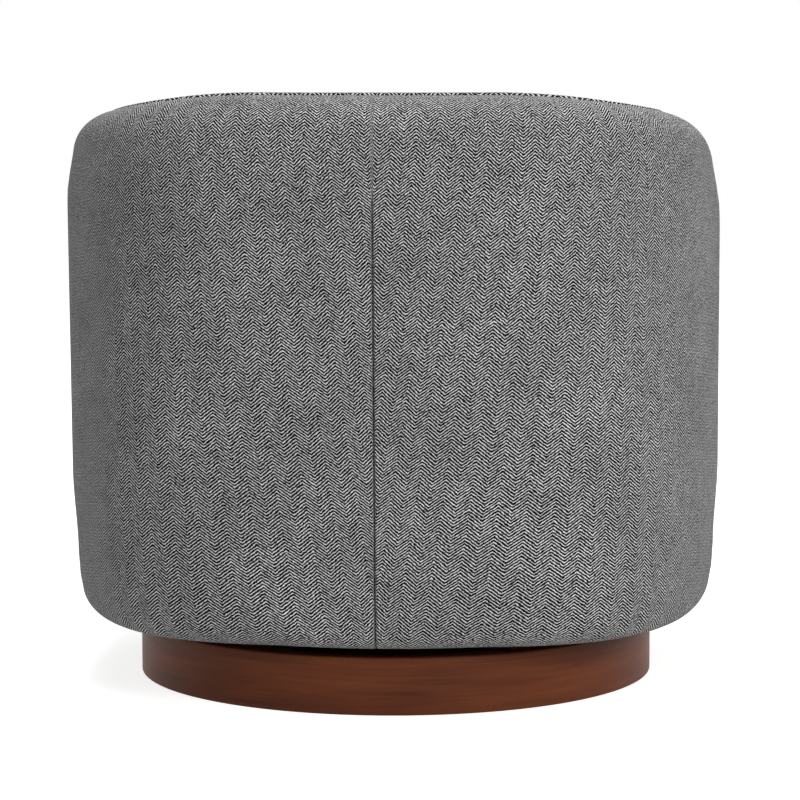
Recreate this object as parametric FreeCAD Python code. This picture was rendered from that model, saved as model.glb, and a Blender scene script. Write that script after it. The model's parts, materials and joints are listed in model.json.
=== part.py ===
import FreeCAD
import Part
import math
import os
from FreeCAD import Vector

# Barrel chair that swivels and rocks on a low round plinth.
# Frame: the chair faces -Y, its back is at +Y, +Z is up, the origin is on the floor on the swivel axis.
# Left is the sitter's left, which is +X. All sizes are in millimetres.

# Upholstered tub, outside
tub_width = 774.0            # over the arms at their widest
back_reach = 368.0           # swivel axis to the outside of the back, at lean_height
front_reach = 371.0          # swivel axis to the front of the arms, just above the rolled hem
widest_y = -80.0             # where the tub is widest
front_taper_reach = 430.0    # half depth of the front half's outline, beyond the arm fronts
outline_power = 2.95         # squareness of the outline: 2 is an ellipse
back_height = 700.0
arm_height = 575.0
rim_fall_start = 17.0        # degrees from the back where the rim starts to fall
hem_height = 78.0
lean = 2.75                  # degrees: the whole tub leans back, so its sides stay upright
lean_height = 560.0          # height at which the outline is measured

# Upholstered wall, as inward distances from the outline
wall_thickness = 112.0
rim_round_height = 85.0      # the rim's roundness starts this far below its top
rim_crown_radius = 52.0
hem_round_height = 72.0
hem_round_depth = 38.0
hem_band = 70.0              # how far the underside of the hem reaches inward
hem_sharper = 4.0            # the lower arc's radius is this much less than the hem's depth
hem_lip = 5.0                # least flat underside inside the hem's roll
cover_thickness = 14.0
liner_thickness = 4.0
back_webbing_width = 50.0
back_webbing_thickness = 1.5
back_webbing_angles = [0.0, 20.0, 40.0, 60.0, 80.0, 100.0]
webbing_inset = 3.0          # the back webbing starts this far below the top rail's top
webbing_bow = 1.6            # most that a flat strap's middle stands off the curve of the wall
pad_extra_back = 50.0        # how much thicker the inside pad is at the seat, at the back
pad_extra_arm = 3.0
pad_seam_angle = 56.0        # degrees from the back: where the inside back and inside arms are sewn
rim_cover_depth = 22.0       # depth of the covers where they meet on the rim
constant_wall_top = 470.0    # below the lowest rim round: up to here the wall keeps one shape
crest_flat = 12.0            # radius of the small flat on top of the arm fronts

# Surfaces: how many straight steps make each rounding, and stations along the wall
rim_flank_steps = 2
rim_crown_steps = 3
hem_steps = 2
wall_stations = 22
frame_stations = 32
arm_steps = 12
cushion_stations = 16
back_pad_stations = 20       # the inside pads' steps: across the back, and along each arm
arm_pad_stations = 12
small_sides = 6
cup_sides = 10
bearing_sides = 32
panel_sides = 48

# Timber frame
frame_clearance = 0.3
upright_depth = 39.0
upright_width = 28.0
upright_angles = [0.0, 34.0, 66.0, 96.0]
rail_sag = 2.5               # most that a rail's straight steps stand inside its curve
rail_rise = 1.0              # most that a rail's straight steps stand above or below its curve
top_rail_height = 25.0
rim_to_rail = 50.0           # rim top down to the top rail
board_thickness = 18.0
board_bottom = 100.0
front_board_thickness = 22.0
seat_rail_depth = 23.0
seat_rail_height = 40.0
seat_rail_top = 286.0
cross_rail_width = 45.0
cross_rail_height = 32.0
webbing_width = 50.0
webbing_thickness = 1.5
webbing_count = 5
webbing_pitch = 88.0
deck_thickness = 7.0
dust_cover_thickness = 0.8

# Front apron
apron_recess = 9.0           # behind the arm fronts
apron_round_depth = 30.0
apron_edge_radius = 6.0

# Loose seat cushion
cushion_height = 150.0
cushion_crown = 14.0
cushion_clearance = 3.0
cushion_corner = 46.0
cushion_bow = 9.0            # how much the front edge bows forward
cushion_past_arm = 18.0      # straight run past the arm's section before the corner

# Plinth
plinth_radius = 306.0
plinth_wall = 18.0
plinth_top = 67.0
plinth_bottom_ease = 5.0
plinth_top_ease = 2.5
glide_height = 2.0
glide_radius = 8.0
glide_count = 6
panel_bottom = 18.0
panel_thickness = 15.0
block_count = 8
block_width = 50.0
block_depth = 26.0
block_height = 15.0
wood_fit = 0.3
hole_play = 0.1

# Swivel
plate_size = 160.0
plate_corner = 14.0
plate_thickness = 3.0
plate_bolt_pitch = 130.0
plate_bolt_radius = 3.0
plate_nut_height = 4.0
bearing_radius = 64.0
bearing_width = 12.0
bearing_height = 5.0
top_plate_radius = 80.0
pivot_radius = 8.0
pivot_play = 0.06
pivot_washer_radius = 22.0
pivot_washer_thickness = 2.0
pivot_nut_height = 9.0
pivot_head_height = 8.0

# Rocker
rocker_angle = 5.0           # each way
rock_axis_z = 70.0
cradle_width = 240.0
cradle_depth = 230.0
cradle_thickness = 4.0
cradle_flange = 10.0
cradle_corner = 16.0
rivet_pitch = 84.0
rivet_radius = 3.0
spring_x = 78.0
spring_y = 70.0
cup_radius = 26.0
cup_rim = 10.0
cup_thickness = 2.0
rocker_plate_thickness = 6.0
rocker_bolt_x = 100.0
rocker_bolt_y = 101.0
rocker_bolt_radius = 4.0
rocker_nut_height = 5.0
spring_coil_radius = 18.0
spring_wire_radius = 3.2
spring_turns = 4.0
spring_sides = 5
spring_steps_per_turn = 8
bumper_radius = 11.0
bumper_y = 98.0
bumper_stop_gap = 0.5
recess_clearance = 12.0      # hem to plinth, so that the tub can rock past it

# Worked out from the sizes above
half_width = tub_width / 2
back_half_depth = back_reach - widest_y
half_wall = wall_thickness / 2
lean_slope = math.tan(math.radians(lean))
hem_wall_foot = hem_height + hem_round_height
recess_radius = plinth_radius + recess_clearance
board_top = board_bottom + board_thickness
panel_top = panel_bottom + panel_thickness
panel_radius = plinth_radius - plinth_wall - wood_fit
base_plate_top = panel_top + plate_thickness
top_plate_bottom = base_plate_top + bearing_height
top_plate_top = top_plate_bottom + plate_thickness
cradle_top = top_plate_top + cradle_thickness
rocker_plate_bottom = board_bottom - rocker_plate_thickness
spring_bottom = cradle_top + cup_thickness
spring_top = rocker_plate_bottom - cup_thickness
board_inset = cover_thickness + frame_clearance
liner_outer = cover_thickness + frame_clearance
frame_outer = liner_outer + liner_thickness + frame_clearance
frame_inner = frame_outer + upright_depth
seat_rail_outer = frame_inner + frame_clearance
back_webbing_outer = frame_inner + frame_clearance + rail_sag + webbing_bow
pad_back = back_webbing_outer + back_webbing_thickness + frame_clearance
cross_webbing_bottom = seat_rail_top + webbing_thickness
deck_bottom = cross_webbing_bottom + webbing_thickness
deck_top = deck_bottom + deck_thickness
cushion_top = deck_top + cushion_height
apron_front = front_reach - apron_recess
apron_back = apron_front - cover_thickness
front_board_front = apron_back - wood_fit
front_board_back = front_board_front - front_board_thickness


# Outline and sections

def outline_point(angle):
    # Superellipse in polar form: angle in degrees from the back, towards the sitter's left
    a = math.radians(angle)
    across = abs(math.sin(a)) / half_width
    along = abs(math.cos(a)) / (back_half_depth if math.cos(a) > 0 else front_taper_reach)
    reach = (across ** outline_power + along ** outline_power) ** (-1.0 / outline_power)
    return Vector(reach * math.sin(a), widest_y + reach * math.cos(a), 0)


def outline_tangent(angle):
    step = 0.05
    along = outline_point(angle + step) - outline_point(angle - step)
    return along.normalize()


def outline_normal(angle):
    along = outline_tangent(angle)
    return Vector(-along.y, along.x, 0)


def place(angle, inward, z):
    # A point of the wall's section at this angle; the whole tub leans back as it rises
    spot = outline_point(angle) - outline_normal(angle) * inward
    return Vector(spot.x, spot.y + lean_slope * (z - lean_height), z)


def front_place(x, reach, z):
    # A point of the front, whose reach from the swivel axis is measured just above the rolled hem
    return Vector(x, lean_slope * (z - hem_wall_foot) - reach, z)


def find_angle(goal, inward, z, low, high):
    # Angle between low and high where goal(point) changes from positive to negative
    for _ in range(50):
        middle = (low + high) / 2
        if goal(place(middle, inward, z)) > 0:
            low = middle
        else:
            high = middle
    return low


arm_angle = find_angle(lambda p: p.y + front_reach - half_wall, half_wall, hem_wall_foot, 60.0, 150.0)
arm_forward = outline_tangent(arm_angle)
arm_outward = outline_normal(arm_angle)


def smooth_step(x):
    x = min(1.0, max(0.0, x))
    return x * x * (3 - 2 * x)


def rim_height(angle):
    fall = smooth_step((abs(angle) - rim_fall_start) / (arm_angle - rim_fall_start))
    return back_height - (back_height - arm_height) * fall


def rail_top(angle):
    return rim_height(angle) - rim_to_rail


def hem_reach(angle):
    # Inward width of the hem's underside: it stops at the recess that clears the plinth
    p = place(angle, 0, hem_height)
    n = outline_normal(angle)
    along = p.x * n.x + p.y * n.y
    off = p.x * p.x + p.y * p.y - recess_radius ** 2
    root = along * along - off
    to_recess = along - math.sqrt(root) if root > 0 else hem_band
    return min(hem_band, to_recess)


def seat_extra(angle):
    # The inside pad is thicker at the seat than at the rim, most of all at the back
    share = smooth_step(1 - abs(angle) / 90.0)
    return pad_extra_arm + (pad_extra_back - pad_extra_arm) * share


def quarter_round(x0, z0, x1, z1, radius, flank_steps, crown_steps):
    # Corners on two tangent arcs from an upright wall at (x0, z0) to a level crown at (x1, z1)
    width = abs(x1 - x0)
    height = abs(z1 - z0)
    sx = 1 if x1 > x0 else -1
    sz = 1 if z1 > z0 else -1
    flank = (width ** 2 + height ** 2 - 2 * height * radius) / (2 * (width - radius))
    turn = math.atan2(height - radius, flank - width)
    corners = []
    for i in range(flank_steps):
        t = turn * (i + 1) / flank_steps
        corners.append((x0 + sx * flank * (1 - math.cos(t)), z0 + sz * flank * math.sin(t)))
    for i in range(crown_steps):
        t = turn + (math.pi / 2 - turn) * (i + 1) / crown_steps
        corners.append((x1 - sx * radius * math.cos(t), z1 - sz * radius * (1 - math.sin(t))))
    return corners


def hem_corners(depth):
    # Rolled hem from its underside, inward by depth, out and up to the foot of the upright wall
    down = quarter_round(0.0, hem_wall_foot, depth, hem_height, depth - hem_sharper, hem_steps, hem_steps)
    return down[::-1] + [(0.0, hem_wall_foot)]


def rim_corners(start, crest, top):
    # Upright wall's top at x = start, rounding over to the crest
    low = top - rim_round_height
    round_over = quarter_round(start, low, crest, top, rim_crown_radius, rim_flank_steps, rim_crown_steps)
    return [(start, low)] + round_over


def between(low, high, steps):
    return [low + (high - low) * i / steps for i in range(1, steps)]


def stations(first, last, count):
    return [first + (last - first) * i / count for i in range(count + 1)]


def closed_face(points):
    return Part.Face(Part.makePolygon(points + points[:1]))


def solid_of(faces):
    shell = Part.makeShell(faces)
    shell.sewShape()
    solid = Part.makeSolid(shell)
    if solid.Volume < 0:
        solid.reverse()
    return solid


def mirrored(shape):
    return shape.mirror(Vector(0, 0, 0), Vector(1, 0, 0))


def smooth_wall(section):
    # Carries a closed section of (inward, height) corners on smooth rails, which run from arm
    # to arm and are trimmed to the stretch from the middle of the back to the left arm
    grid = [[place(angle, inward, z) for inward, z in section(angle)] for angle in full_stations]
    middle = len(grid) // 2
    rails = []
    for j in range(len(grid[0])):
        curve = Part.BSplineCurve()
        curve.interpolate([row[j] for row in grid])
        rails.append(curve.toShape(curve.parameter(grid[middle][j]), curve.LastParameter))
    grid = grid[middle:]
    faces = [closed_face(grid[0]), closed_face(grid[-1])]
    for j in range(len(rails)):
        k = (j + 1) % len(rails)
        if all(abs(row[j].z - row[k].z) < 1e-9 and row[j].z == grid[0][j].z for row in grid):
            ends = [Part.LineSegment(row[j], row[k]).toShape() for row in (grid[0], grid[-1])]
            faces.append(Part.Face(Part.Wire([rails[j], ends[1], rails[k], ends[0]])))
        else:
            faces.append(Part.makeRuledSurface(rails[j], rails[k]))
    return solid_of(faces)


def segmented_wall(section, angles):
    # The same between any two angles in straight steps, for timber, board and hidden padding
    grid = [[place(angle, inward, z) for inward, z in section(angle)] for angle in angles]
    faces = [closed_face(grid[0]), closed_face(grid[-1])]
    count = len(grid[0])
    for here, there in zip(grid[:-1], grid[1:]):
        for j in range(count):
            k = (j + 1) % count
            faces.append(closed_face([here[j], here[k], there[k]]))
            faces.append(closed_face([here[j], there[k], there[j]]))
    return solid_of(faces)


def band(low_inward, high_inward, low_z, high_z):
    # Section between two inward distances; the heights are numbers or functions of the angle
    def section(angle):
        low = low_z(angle) if callable(low_z) else low_z
        high = high_z(angle) if callable(high_z) else high_z
        return [(low_inward, low), (low_inward, high), (high_inward, high), (high_inward, low)]
    return section


def save(shape, name):
    if not shape.isValid():
        print("not valid:", name)
    print(name, "solids", len(shape.Solids), "volume cm3", round(shape.Volume / 1000, 1))
    shape.exportStep("parts/" + name + ".step")


full_stations = stations(-arm_angle, arm_angle, wall_stations)
board_stations = stations(-arm_angle, arm_angle, frame_stations)


# Upholstery

def edge_section(angle):
    # Padded roll of the bottom edge, from its underside up to the foot of the upright wall
    reach = hem_reach(angle)
    corners = [(reach, hem_height)] + hem_corners(min(hem_round_depth, reach - hem_lip))
    return corners + [(cover_thickness, hem_wall_foot), (cover_thickness, board_bottom), (reach, board_bottom)]


def outside_section(angle):
    # Outside cover: wall and rim outside, then straight down inside to the roll of the bottom edge
    top = rim_height(angle)
    wall_top = top - rim_round_height
    inner_top = top - rim_to_rail + 4.0
    corners = [(0.0, hem_wall_foot), (0.0, constant_wall_top)]
    corners += [(0.0, z) for z in between(constant_wall_top, wall_top, 2)]
    corners += rim_corners(0.0, half_wall, top)
    corners += [(half_wall, top - rim_cover_depth), (cover_thickness, inner_top)]
    corners += [(cover_thickness, z) for z in between(inner_top, constant_wall_top, 2)]
    corners += [(cover_thickness, constant_wall_top), (cover_thickness, hem_wall_foot)]
    return corners


def inside_section(angle):
    # Inside pad: rim and inner face, then up behind it and over the top rail
    top = rim_height(angle)
    crest = half_wall + frame_clearance
    low = deck_top + frame_clearance
    brow = top - rim_round_height
    extra = seat_extra(angle)
    over_rail = rail_top(angle) + rail_rise + frame_clearance

    def face_at(z):
        down = (brow - z) / (brow - low)
        return wall_thickness + extra * (down + 0.6 * down * (1 - down))

    corners = rim_corners(wall_thickness, crest, top)[::-1]
    inner_heights = between(brow, constant_wall_top, 2) + [constant_wall_top, (constant_wall_top + low) / 2, low]
    corners += [(face_at(z), z) for z in inner_heights]
    corners += [(pad_back, low), (pad_back, constant_wall_top)]
    corners += [(pad_back, z) for z in between(constant_wall_top, over_rail, 2)]
    corners += [(pad_back, over_rail), (frame_outer, over_rail)]
    corners += [(crest, top - rim_cover_depth - frame_clearance)]
    return corners


def arm_ring(radius, z, first, last):
    # Corners round the arm's front end, from first to last in steps; 0 is its outside, arm_steps its inside
    centre = place(arm_angle, half_wall, z)
    corners = []
    for i in range(first, last + 1):
        turn = math.pi * i / arm_steps
        corners.append(centre + (arm_outward * math.cos(turn) + arm_forward * math.sin(turn)) * radius)
    return corners


def stacked(rings):
    # Solid between level rings of corners, from the bottom up
    faces = [closed_face(rings[0]), closed_face(rings[-1])]
    for low, high in zip(rings[:-1], rings[1:]):
        for j in range(len(low)):
            k = (j + 1) % len(low)
            faces.append(closed_face([low[j], low[k], high[k]]))
            faces.append(closed_face([low[j], high[k], high[j]]))
    return solid_of(faces)


def half_column(profile):
    # Solid of half discs round the arm's front end; profile is a list of (radius, height) from the bottom
    return stacked([arm_ring(radius, z, 0, arm_steps) for radius, z in profile])


def make_arm_front():
    # Upholstered front end of an arm: rolled hem, half-round wall and domed top, over the arm post
    hem = hem_corners(hem_round_depth)
    rim = rim_corners(0.0, half_wall, arm_height)
    profile = [(half_wall - inward, z) for inward, z in hem + rim if half_wall - inward > crest_flat]
    profile.append((crest_flat, arm_height))
    inner = half_wall - cover_thickness
    hollow_top = arm_height - rim_to_rail + frame_clearance
    hollow = half_column([(inner, board_bottom), (inner, hollow_top)])
    hem_inner = half_wall - hem_round_depth - hem_lip
    opening = half_column([(hem_inner, hem_height), (hem_inner, board_bottom)])
    return half_column(profile).cut(hollow).cut(opening)


def arm_column(radius, low, high):
    # Leaning round column about both arms' front ends
    column = stacked([arm_ring(radius, z, 0, 2 * arm_steps - 1) for z in (low, high)])
    return column.fuse(mirrored(column))


def front_prism(profile, span):
    # A profile of (reach, height) corners carried straight across the front
    left = [front_place(span, reach, z) for reach, z in profile]
    right = [front_place(-span, reach, z) for reach, z in profile]
    faces = [closed_face(left), closed_face(right)]
    for j in range(len(profile)):
        k = (j + 1) % len(profile)
        faces.append(closed_face([left[j], left[k], right[k], right[j]]))
    return solid_of(faces)


def make_apron():
    # Panel below the cushion: rolled hem, straight face, wrapped over the front board
    hem = [(apron_front - inward, z) for inward, z in hem_corners(apron_round_depth)]
    lip = front_board_back + wood_fit
    edge = apron_edge_radius
    bend = edge * (1 - math.sqrt(0.5))
    hem_back = recess_radius + 6.0
    profile = [(hem_back, hem_height)] + hem
    profile += [(apron_front, deck_top - edge), (apron_front - bend, deck_top - bend),
                (apron_front - edge, deck_top), (lip, deck_top), (lip, deck_bottom), (apron_back, deck_bottom),
                (apron_back, board_bottom), (hem_back, board_bottom)]
    span = place(arm_angle, half_wall, deck_top).x
    return front_prism(profile, span).cut(arm_column(half_wall + frame_clearance, 0.0, arm_height))


# Loose seat cushion

def cushion_ring(inset, z, scale):
    # Corners of one level outline: round the inside pad, forward between the arms, bowed out in front
    def on_pad(angle):
        gap = wall_thickness + seat_extra(angle) + cushion_clearance + inset
        return place(angle, gap, z)

    arm_end = on_pad(arm_angle) + arm_forward * cushion_past_arm
    front = front_place(arm_end.x - cushion_corner, front_reach - cushion_bow - inset, z)
    left = [on_pad(angle) for angle in stations(0.0, arm_angle, cushion_stations)] + [arm_end]
    for t in between(0.0, 1.0, 5):
        bend = arm_end * (1 - t) ** 2 + (arm_end + arm_forward * cushion_corner) * (2 * t * (1 - t)) + front * t ** 2
        left.append(Vector(bend.x, bend.y, z))
    for t in stations(0.0, 1.0, 4):
        left.append(front_place(front.x * (1 - t), front_reach - cushion_bow * (1 - t) ** 2 - inset, z))
    right = [Vector(-p.x, p.y, z) for p in left[-2:0:-1]]
    middle = front_place(0, 0, z)
    return [middle + (p - middle) * scale for p in left + right]


def make_cushion():
    # Boxed cushion: rolled lower edge, swollen side, rolled upper edge and a low crown
    levels = [(11.0, 0.0), (3.0, 0.07), (0.8, 0.22), (0.0, 0.5), (0.8, 0.78), (3.0, 0.9), (11.0, 1.0)]
    rings = [cushion_ring(inset, deck_top + share * cushion_height, 1.0) for inset, share in levels]
    for scale, share in ((0.86, 0.5), (0.66, 0.85), (0.4, 1.0)):
        rings.append(cushion_ring(11.0, cushion_top + share * cushion_crown, scale))
    return stacked(rings)


# Timber frame

def make_outer_liner():
    low = board_top + frame_clearance
    return segmented_wall(band(liner_outer, liner_outer + liner_thickness, low, rail_top), board_stations)


def make_top_rail():
    def rail_bottom(angle):
        return rail_top(angle) - top_rail_height
    return segmented_wall(band(frame_outer, frame_inner, rail_bottom, rail_top), board_stations)


def make_seat_rail():
    low = seat_rail_top - seat_rail_height
    section = band(seat_rail_outer, seat_rail_outer + seat_rail_depth, low, seat_rail_top)
    return segmented_wall(section, board_stations)


def wall_post(angle, width, outer, inner, low, high_z):
    # Flat-sided length that leans with the wall, its top cut along high_z
    half_turn = math.degrees(width / 2 / outline_point(angle).sub(Vector(0, widest_y, 0)).Length)
    along = outline_tangent(angle) * (width / 2)
    sides = ((-1, outer), (1, outer), (1, inner), (-1, inner))
    foot = [place(angle, inward, low) + along * side for side, inward in sides]
    head = [place(angle, inward, high_z(angle + side * half_turn)) + along * side for side, inward in sides]
    faces = [closed_face(foot), closed_face(head[:3]), closed_face([head[0], head[2], head[3]])]
    for j in range(4):
        k = (j + 1) % 4
        faces.append(closed_face([foot[j], foot[k], head[k], head[j]]))
    return solid_of(faces)


def on_both_sides(angles, make_one):
    pieces = []
    for angle in angles:
        piece = make_one(angle)
        pieces.append(piece)
        if angle > 0:
            pieces.append(mirrored(piece))
    return Part.makeCompound(pieces)


def make_uprights():
    def head(angle):
        return rail_top(angle) - top_rail_height - rail_rise - frame_clearance
    outer = frame_outer + rail_sag
    inner = frame_inner - rail_sag
    return on_both_sides(upright_angles,
                         lambda angle: wall_post(angle, upright_width, outer, inner, board_top, head))


def make_back_webbing():
    # Upright straps from the top rail down to the seat rail
    def head(angle):
        return rail_top(angle) - webbing_inset
    inner = back_webbing_outer + back_webbing_thickness
    return on_both_sides(back_webbing_angles,
                         lambda angle: wall_post(angle, back_webbing_width, back_webbing_outer, inner,
                                                 seat_rail_top, head))


def make_arm_posts():
    radius = half_wall - frame_outer
    post = half_column([(radius, board_top), (radius, rail_top(arm_angle))])
    return Part.makeCompound([post, mirrored(post)])


def floor_ring(inward, z, front):
    # Corners of a level outline inside the wall, closed by the front's straight edges
    left = front(z)
    right = [Vector(-p.x, p.y, p.z) for p in reversed(left)]
    return [place(angle, inward, z) for angle in board_stations] + left + right


def floor_slab(inward, low, high, front):
    # Flat slab that fills the tub inside the wall; its edges lean with the wall
    return stacked([floor_ring(inward, z, front) for z in (low, high)])


def make_bottom_board():
    # Follows the hem, goes round the arm posts' feet, straight behind the apron, and leaves
    # room for the arm fronts' inner walls
    hollow = half_wall - cover_thickness
    nose = hollow * math.cos(math.pi / 2 / arm_steps) - frame_clearance

    def front(z):
        centre = place(arm_angle, half_wall, z)
        edge_y = front_place(0, apron_back - wood_fit, z).y
        first = math.atan2(arm_outward.y, arm_outward.x)
        last = -math.pi + math.asin((centre.y - edge_y) / nose)
        last = -math.asin((centre.y - edge_y) / nose) if first > -math.pi / 2 else last
        turns = stations(first, last, 3)[1:]
        return [centre + Vector(math.cos(t), math.sin(t), 0) * nose for t in turns]

    board = floor_slab(board_inset, board_bottom, board_top, front)
    low, high = board_bottom - 1.0, board_top + 1.0
    outside = half_wall + frame_clearance
    wall = half_column([(outside, low), (outside, high)]).cut(half_column([(hollow, low), (hollow, high)]))
    board = board.cut(wall).cut(mirrored(wall))
    return drill(board, rocker_bolt_places(), rocker_bolt_radius, board_bottom, board_top)


def seat_front(reach):
    # From the wall to the inner face of the arm front, then forward to the reach
    def front(z):
        inner = place(arm_angle, wall_thickness + frame_clearance, z)
        ahead_y = front_place(0, reach, z).y
        ahead = inner + arm_forward * ((ahead_y - inner.y) / arm_forward.y)
        return [inner, ahead]
    return front


def make_seat_deck():
    return floor_slab(pad_back, deck_bottom, deck_top, seat_front(front_board_back - wood_fit))


def inner_point(goal, z, low, high):
    return place(find_angle(goal, pad_back, z, low, high), pad_back, z)


def webbing_offsets():
    return [(i - (webbing_count - 1) / 2) * webbing_pitch for i in range(webbing_count)]


def flat_strap(corners):
    return closed_face(corners).extrude(Vector(0, 0, webbing_thickness))


def make_lengthwise_webbing():
    straps = []
    z = seat_rail_top
    front_y = front_place(0, front_board_front - 3.0, z).y
    for offset in webbing_offsets():
        sides = (offset - webbing_width / 2, offset + webbing_width / 2)
        ends = [inner_point(lambda p: abs(x) - p.x, z, 0.0, 80.0).y for x in sides]
        straps.append(flat_strap([Vector(sides[0], front_y, z), Vector(sides[1], front_y, z),
                                  Vector(sides[1], ends[1], z), Vector(sides[0], ends[0], z)]))
    return Part.makeCompound(straps)


def make_crosswise_webbing():
    straps = []
    z = cross_webbing_bottom
    for offset in webbing_offsets():
        lows = (widest_y + offset - webbing_width / 2, widest_y + offset + webbing_width / 2)
        ends = [inner_point(lambda p: p.y - y, z, 20.0, arm_angle).x for y in lows]
        straps.append(flat_strap([Vector(-ends[0], lows[0], z), Vector(ends[0], lows[0], z),
                                  Vector(ends[1], lows[1], z), Vector(-ends[1], lows[1], z)]))
    return Part.makeCompound(straps)


def make_front_board():
    profile = [(front_board_front, board_top), (front_board_front, seat_rail_top),
               (front_board_back, seat_rail_top), (front_board_back, board_top)]
    span = place(arm_angle, half_wall, deck_top).x
    return front_prism(profile, span).cut(arm_column(half_wall + frame_clearance, 0.0, arm_height))


def make_cross_rails():
    back_y = place(0, seat_rail_outer, board_top).y
    front_y = front_place(0, front_board_back - wood_fit, board_top + cross_rail_height).y
    rails = []
    for side in (-1, 1):
        corner = Vector(side * rocker_bolt_x - cross_rail_width / 2, front_y, board_top)
        rail = Part.makeBox(cross_rail_width, back_y - front_y, cross_rail_height, corner)
        places = [(x, y) for x, y in rocker_bolt_places() if x * side > 0]
        rails.append(drill(rail, places, rocker_bolt_radius, board_top, board_top + cross_rail_height))
    return Part.makeCompound(rails)


def make_dust_cover():
    # Thin cloth ring under the bottom board, between the rocker plate and the hem
    low = board_bottom - dust_cover_thickness
    outer = prism(recess_radius - 2.0, 3 * cup_sides, 0, 0, low, board_bottom)
    inner = math.hypot(cradle_width, cradle_depth) / 2 + 6.0
    return outer.cut(prism(inner, 2 * cup_sides, 0, 0, low - 1.0, board_bottom + 1.0))


# Small round pieces with flat facets

def ring_of(radius, sides, x, y, z):
    turns = [2 * math.pi * (i + 0.5) / sides for i in range(sides)]
    return [Vector(x + radius * math.cos(t), y + radius * math.sin(t), z) for t in turns]


def prism(radius, sides, x, y, low, high):
    face = closed_face(ring_of(radius, sides, x, y, low))
    return face.extrude(Vector(0, 0, high - low))


def frustum(low_radius, high_radius, sides, x, y, low, high):
    foot = ring_of(low_radius, sides, x, y, low)
    head = ring_of(high_radius, sides, x, y, high)
    faces = [closed_face(foot), closed_face(head)]
    for j in range(sides):
        k = (j + 1) % sides
        faces.append(closed_face([foot[j], foot[k], head[k], head[j]]))
    return solid_of(faces)


def drill(shape, places, radius, low, high):
    # Faceted holes whose flats clear a shank of this radius by the hole's play
    reach = (radius + hole_play) / math.cos(math.pi / small_sides)
    for x, y in places:
        shape = shape.cut(prism(reach, small_sides, x, y, low - 1.0, high + 1.0))
    return shape


def clear_pivot(shape, low, high):
    # Faceted hole for the king bolt through a piece that doesn't turn on it
    reach = (pivot_radius + hole_play) / math.cos(math.pi / cup_sides)
    return shape.cut(prism(reach, cup_sides, 0, 0, low - 1.0, high + 1.0))


def bore(shape, radius, low, high):
    return shape.cut(Part.makeCylinder(radius, high - low + 2.0, Vector(0, 0, low - 1.0)))


def ring_places(count, radius, first):
    angles = [first + 2 * math.pi * i / count for i in range(count)]
    return [(radius * math.cos(a), radius * math.sin(a)) for a in angles]


def corner_places(pitch_x, pitch_y):
    return [(sx * pitch_x / 2, sy * pitch_y / 2) for sx in (-1, 1) for sy in (-1, 1)]


# Plinth

def make_plinth_ring():
    outer = plinth_radius
    inner = plinth_radius - plinth_wall
    low = plinth_bottom_ease
    high = plinth_top_ease
    base = glide_height
    bend = 1 - math.sqrt(0.5)
    profile = [(inner, base), (outer - low, base), (outer - low * bend, base + low * bend),
               (outer, base + low), (outer, plinth_top - high), (outer - high, plinth_top),
               (inner, plinth_top)]
    face = closed_face([Vector(x, 0, z) for x, z in profile])
    return face.revolve(Vector(0, 0, 0), Vector(0, 0, 1), 360)


def make_glides():
    places = ring_places(glide_count, plinth_radius - plinth_wall / 2, math.pi / 2)
    return Part.makeCompound([frustum(glide_radius - 0.8, glide_radius, small_sides, x, y, 0.0, glide_height)
                              for x, y in places])


def make_blocks():
    # Glue blocks below the panel, round against the ring
    low = panel_bottom - block_height
    inside = prism(panel_radius, panel_sides, 0, 0, low, panel_bottom)
    blocks = []
    for i in range(block_count):
        block = Part.makeBox(2 * block_depth, block_width, block_height,
                             Vector(panel_radius - block_depth, -block_width / 2, low))
        block.rotate(Vector(0, 0, 0), Vector(0, 0, 1), (i + 0.5) * 360.0 / block_count)
        blocks.append(block.common(inside))
    return Part.makeCompound(blocks)


def make_panel():
    panel = prism(panel_radius, panel_sides, 0, 0, panel_bottom, panel_top)
    panel = drill(panel, plate_bolt_places(), plate_bolt_radius, panel_bottom, panel_top)
    return clear_pivot(panel, panel_bottom, panel_top)


# Swivel

def plate_bolt_places():
    return corner_places(plate_bolt_pitch, plate_bolt_pitch)


def cut_corner_plate(width, depth, corner, low, high):
    x = width / 2
    y = depth / 2
    points = []
    for sx, sy in ((1, 1), (-1, 1), (-1, -1), (1, -1)):
        pair = [Vector(sx * x, sy * (y - corner), low), Vector(sx * (x - corner), sy * y, low)]
        points += pair if sx * sy > 0 else pair[::-1]
    return closed_face(points).extrude(Vector(0, 0, high - low))


def make_base_plate():
    plate = cut_corner_plate(plate_size, plate_size, plate_corner, panel_top, base_plate_top)
    plate = drill(plate, plate_bolt_places(), plate_bolt_radius, panel_top, base_plate_top)
    return clear_pivot(plate, panel_top, base_plate_top)


def make_bearing_ring():
    outer = prism(bearing_radius + bearing_width / 2, bearing_sides, 0, 0, base_plate_top, top_plate_bottom)
    return outer.cut(prism(bearing_radius - bearing_width / 2, bearing_sides, 0, 0, base_plate_top - 1.0,
                           top_plate_bottom + 1.0))


def make_top_plate():
    plate = prism(top_plate_radius, bearing_sides, 0, 0, top_plate_bottom, top_plate_top)
    plate = drill(plate, rivet_places(), rivet_radius, top_plate_bottom, top_plate_top)
    return bore(plate, pivot_radius + pivot_play, top_plate_bottom, top_plate_top)


def rivet_places():
    return corner_places(rivet_pitch, rivet_pitch)


def hexagon(across, x, y, low, high):
    return prism(across / math.sqrt(3), 6, x, y, low, high)


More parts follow.
